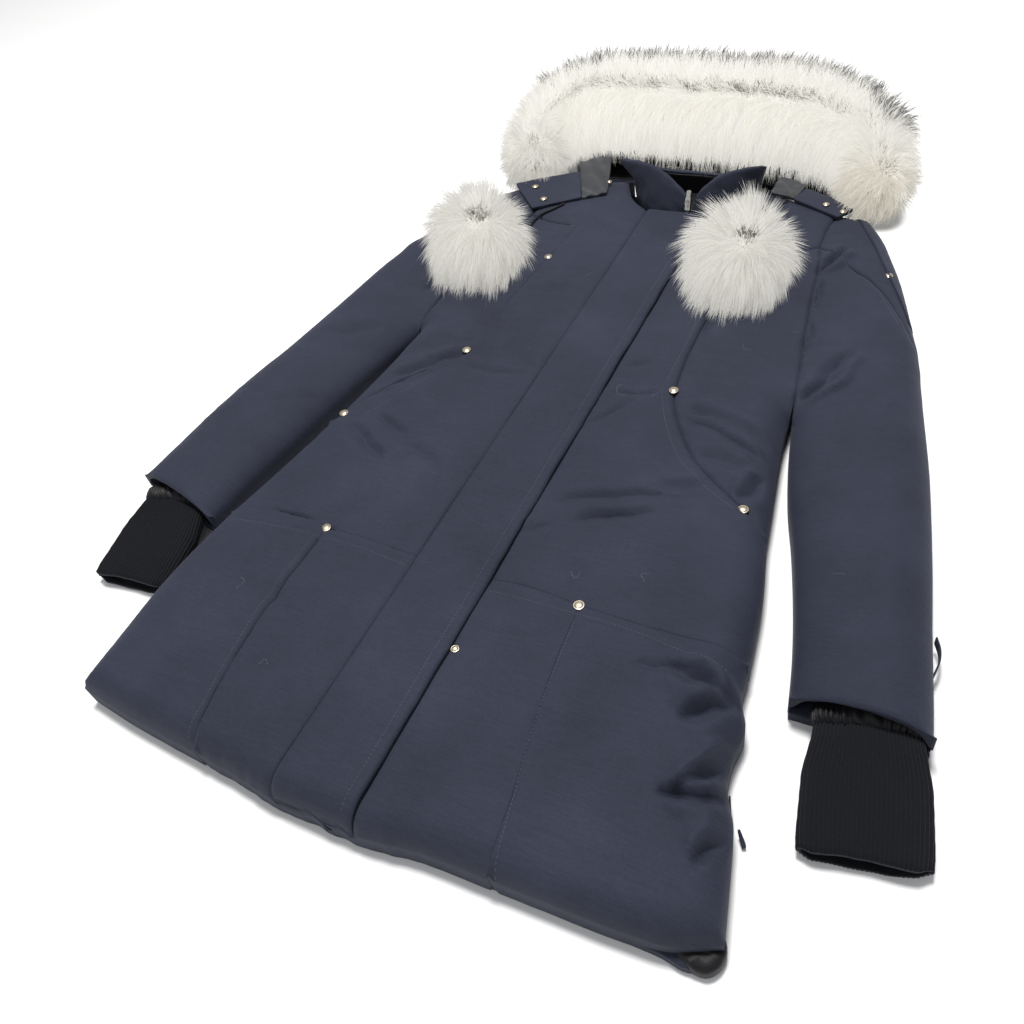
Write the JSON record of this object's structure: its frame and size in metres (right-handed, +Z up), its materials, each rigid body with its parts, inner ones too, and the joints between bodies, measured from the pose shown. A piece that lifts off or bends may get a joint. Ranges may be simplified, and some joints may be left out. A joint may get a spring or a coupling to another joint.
{
  "type": "fur trimmed parka",
  "caption": "Padded hooded parka laid flat, with storm placket, stand collar, fur hood ruff, fur pompoms and ribbed cuffs.",
  "frame": {"origin": "on the underside of the back panel, on the centre line of the body near the hem, where the coat rests", "axes": "+X towards the wearer's left, across the coat; +Y from the hem towards the hood; +Z up, out of the front"},
  "size_m": [0.7981, 1.0672, 0.1502],
  "materials": {
    "shell": "matt twill",
    "lining": "smooth woven",
    "facing": "matt nylon",
    "knit": "rib knit",
    "fur": "long fur",
    "zip": "zip chain on tape",
    "metal": "pale gilt"
  },
  "bodies": {
    "parka": {"arm_band_left": "shell", "back_panel": "shell", "collar_left": "shell", "collar_lining_left": "lining", "collar_lining_right": "lining", "collar_right": "shell", "drawcord_left": "lining", "drawcord_right": "lining", "front_left": "shell", "front_right": "shell", "front_zip": "zip", "fur_ruff": "fur", "hip_inner_left": "shell", "hip_inner_right": "shell", "hip_outer_left": "shell", "hip_outer_right": "shell", "hood_lining": "lining", "hood_tab_facing_left": "facing", "hood_tab_facing_right": "facing", "hood_tab_left": "shell", "hood_tab_right": "shell", "hood_top": "shell", "hood_under": "shell", "neck_lining": "lining", "pompom_left": "fur", "pompom_right": "fur", "rib_cuff_left": "knit", "rib_cuff_right": "knit", "rivet_arm_left": "metal", "rivet_chest_left": "metal", "rivet_chest_right": "metal", "rivet_hip_left": "metal", "rivet_hip_right": "metal", "rivet_placket": "metal", "rivet_pocket_left": "metal", "rivet_pocket_right": "metal", "rivet_pocket_side_left": "metal", "rivet_pocket_side_right": "metal", "rivet_tab_inner_left": "metal", "rivet_tab_inner_right": "metal", "rivet_tab_neck_right": "metal", "rivet_tab_outer_left": "metal", "rivet_tab_outer_right": "metal", "side_front_left": "shell", "side_front_right": "shell", "sleeve_cap_left": "shell", "sleeve_cap_right": "shell", "sleeve_loop_left": "shell", "sleeve_top_left": "shell", "sleeve_top_right": "shell", "sleeve_under_left": "shell", "sleeve_under_right": "shell", "storm_placket": "shell", "vent_pull_left": "shell", "vent_zip_left": "lining", "zip_slider": "metal"},
    "zip_pull": {"zip_pull": "metal"}
  },
  "joints": [
    {"name": "zip_pull_hinge", "type": "hinge", "parent": "parka", "child": "zip_pull", "pos_m": [0.011, 0.79887, 0.05243], "axis": [1, 0, 0], "range_deg": [0, 130]}
  ]
}
